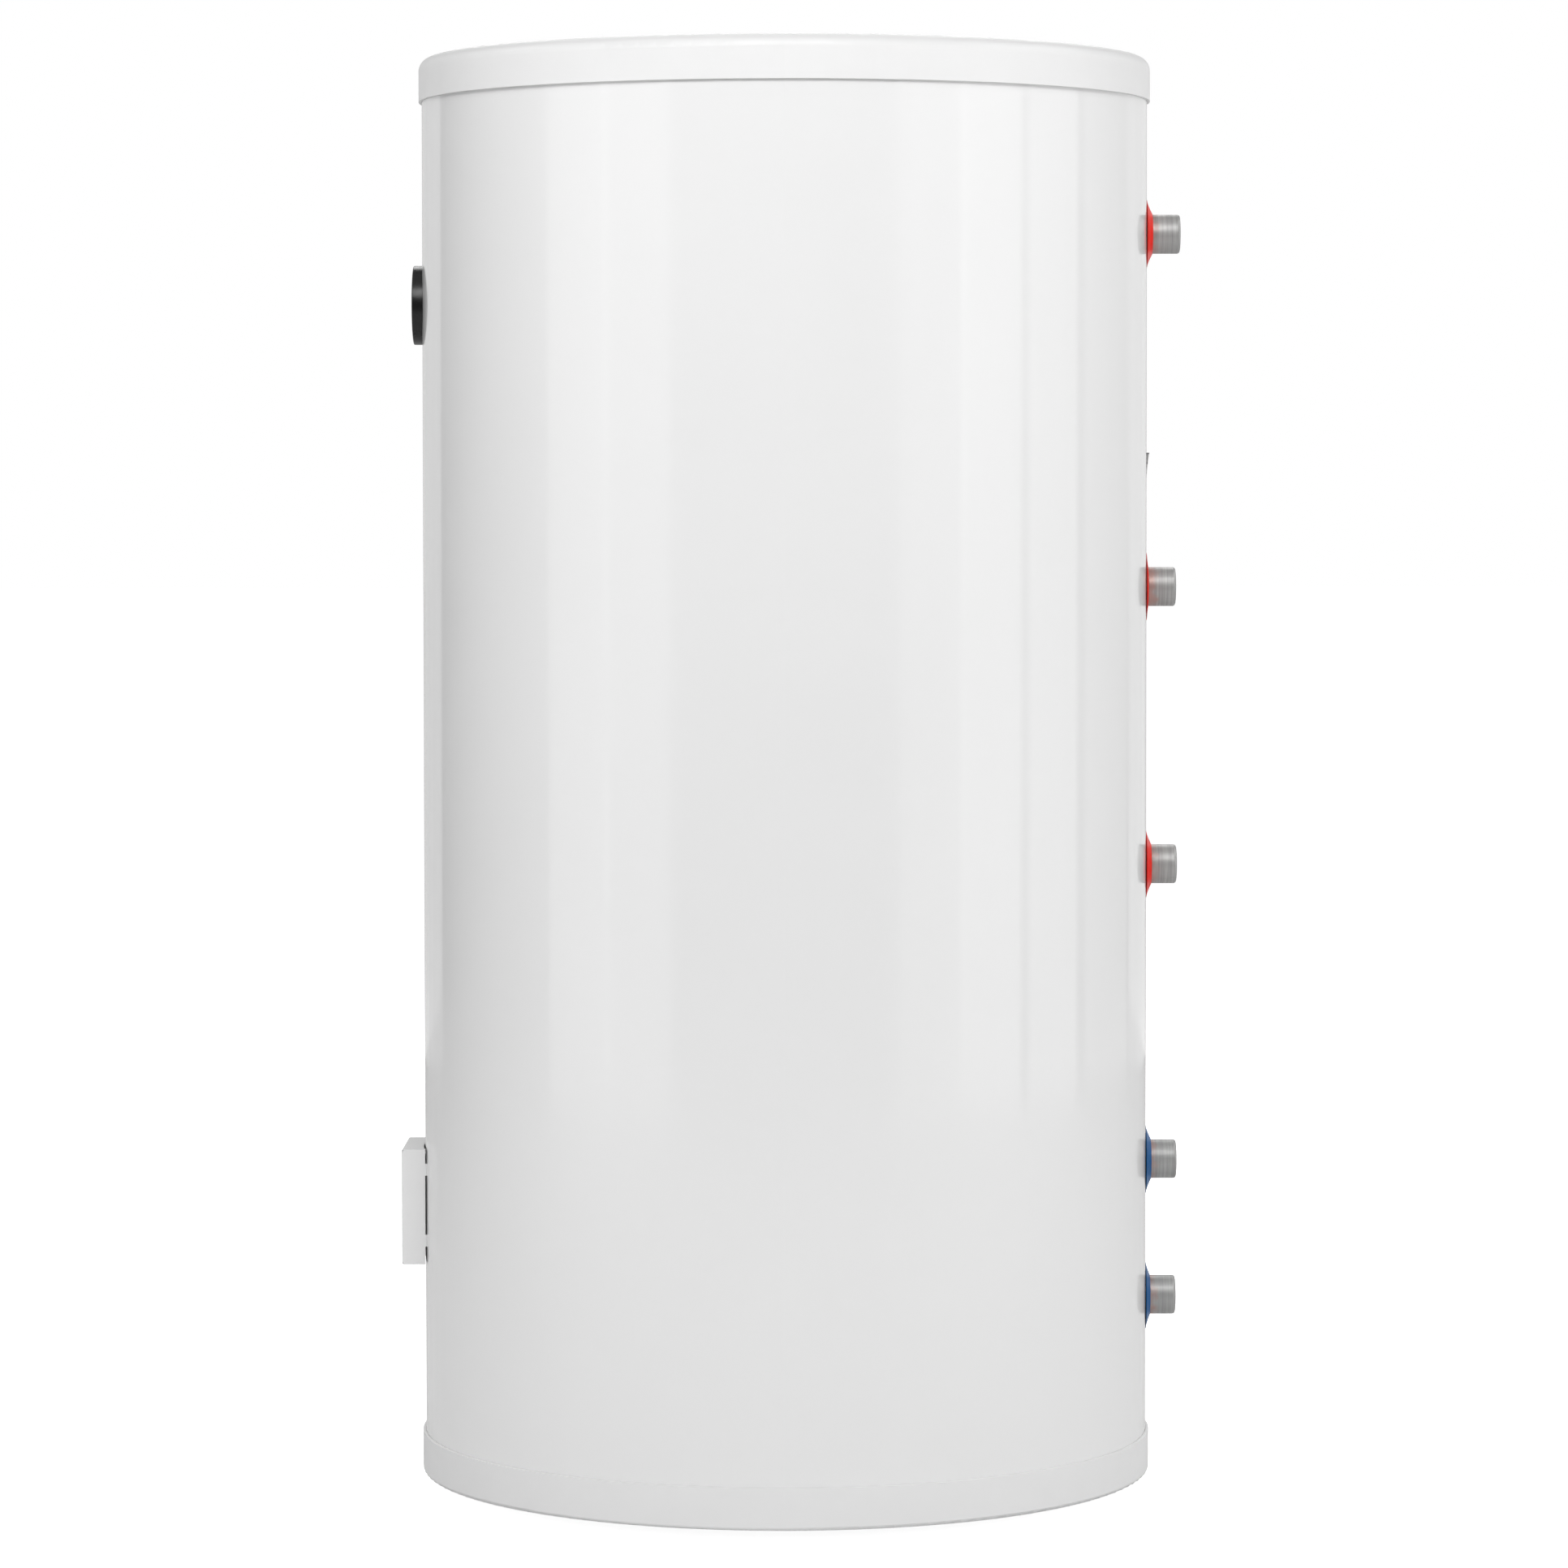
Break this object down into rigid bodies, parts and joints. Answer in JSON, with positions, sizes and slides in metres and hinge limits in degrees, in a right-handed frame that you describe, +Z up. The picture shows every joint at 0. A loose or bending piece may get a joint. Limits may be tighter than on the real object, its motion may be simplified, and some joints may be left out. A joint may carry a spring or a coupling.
{
  "type": "tank water heater",
  "caption": "Floor-standing cylindrical indirect water heater with plastic end caps, a dial thermometer and service cover in front, and a row of side pipe sockets behind.",
  "frame": {"origin": "on the tank's axis at floor level", "axes": "+Z up along the tank's axis; the thermometer and the service cover face -Y; the row of sockets leaves the back, along +Y"},
  "size_m": [0.4939, 0.527, 0.965],
  "materials": {
    "white_enamel": "gloss",
    "white_abs": "gloss",
    "cover_enamel": "satin",
    "turned_steel": "satin",
    "red_plastic": "gloss",
    "blue_plastic": "gloss",
    "black_plastic": "gloss",
    "dial_face": "matte",
    "pointer_red": "satin",
    "lens": "gloss",
    "tank_steel": "satin",
    "coil_steel": "satin",
    "foam": "matte",
    "brass": "satin",
    "element_sheath": "satin",
    "gasket_rubber": "matte",
    "thermostat_plastic": "matte",
    "dial_plastic": "satin",
    "button_red": "gloss",
    "terminal_plastic": "satin",
    "zinc_screw": "satin",
    "anode_magnesium": "matte",
    "label_paper": "matte",
    "foot_rubber": "matte"
  },
  "bodies": {
    "tank": {"anode_boss": "tank_steel", "anode_plug": "brass", "anode_rod": "anode_magnesium", "base_cap": "white_abs", "coil_brackets": "tank_steel", "coil_flow_collar": "red_plastic", "coil_flow_socket": "turned_steel", "coil_return_collar": "blue_plastic", "coil_return_socket": "turned_steel", "cold_inlet_collar": "blue_plastic", "cold_inlet_diffuser": "coil_steel", "cold_inlet_socket": "turned_steel", "cover_posts": "zinc_screw", "foot_nuts": "zinc_screw", "heater_boss": "tank_steel", "heater_gasket": "gasket_rubber", "heater_plug": "brass", "heating_coil": "coil_steel", "hot_outlet_collar": "red_plastic", "hot_outlet_riser": "coil_steel", "hot_outlet_socket": "turned_steel", "immersion_heater": "element_sheath", "insulation_foam": "foam", "outer_jacket": "white_enamel", "rating_label": "label_paper", "recirculation_collar": "red_plastic", "recirculation_socket": "turned_steel", "support_ring": "tank_steel", "tank_barrel": "tank_steel", "tank_bottom_head": "tank_steel", "tank_top_head": "tank_steel", "terminal_block": "terminal_plastic", "terminal_screws": "zinc_screw", "thermometer_bezel": "black_plastic", "thermometer_case": "black_plastic", "thermometer_dial": "dial_face", "thermometer_lens": "lens", "thermometer_pocket": "element_sheath", "thermometer_stem": "element_sheath", "thermostat_body": "thermostat_plastic", "top_cap": "white_abs"},
    "thermometer_pointer": {"thermometer_pointer": "pointer_red"},
    "thermostat_dial": {"thermostat_dial": "dial_plastic"},
    "cutout_reset_button": {"cutout_reset_button": "button_red"},
    "service_cover": {"service_cover": "cover_enamel", "cover_screws": "zinc_screw", "cable_grommet": "gasket_rubber"},
    "foot_front": {"foot_front_pad": "foot_rubber", "foot_front_stud": "zinc_screw"},
    "foot_right": {"foot_right_pad": "foot_rubber", "foot_right_stud": "zinc_screw"},
    "foot_left": {"foot_left_pad": "foot_rubber", "foot_left_stud": "zinc_screw"}
  },
  "joints": [
    {"name": "thermometer_pointer_turn", "type": "hinge", "parent": "tank", "child": "thermometer_pointer", "pos_m": [0, -0.2472, 0.7982], "axis": [0, 1, 0], "range_deg": [-40, 200], "stiffness_Nm_per_rad": 0.0005},
    {"name": "thermostat_dial_turn", "type": "hinge", "parent": "tank", "child": "thermostat_dial", "pos_m": [-0.011, -0.248, 0.195], "axis": [0, 1, 0], "range_deg": [0, 270]},
    {"name": "reset_button_press", "type": "slide", "parent": "tank", "child": "cutout_reset_button", "axis": [0, 1, 0], "range_m": [0, 0.002], "stiffness_N_per_m": 800},
    {"name": "service_cover_lift_off", "type": "slide", "parent": "tank", "child": "service_cover", "axis": [0, -1, 0], "range_m": [0, 0.06]},
    {"name": "foot_front_screw_out", "type": "slide", "parent": "tank", "child": "foot_front", "axis": [0, 0, -1], "range_m": [0, 0.01]},
    {"name": "foot_right_screw_out", "type": "slide", "parent": "tank", "child": "foot_right", "axis": [0, 0, -1], "range_m": [0, 0.01]},
    {"name": "foot_left_screw_out", "type": "slide", "parent": "tank", "child": "foot_left", "axis": [0, 0, -1], "range_m": [0, 0.01]}
  ]
}
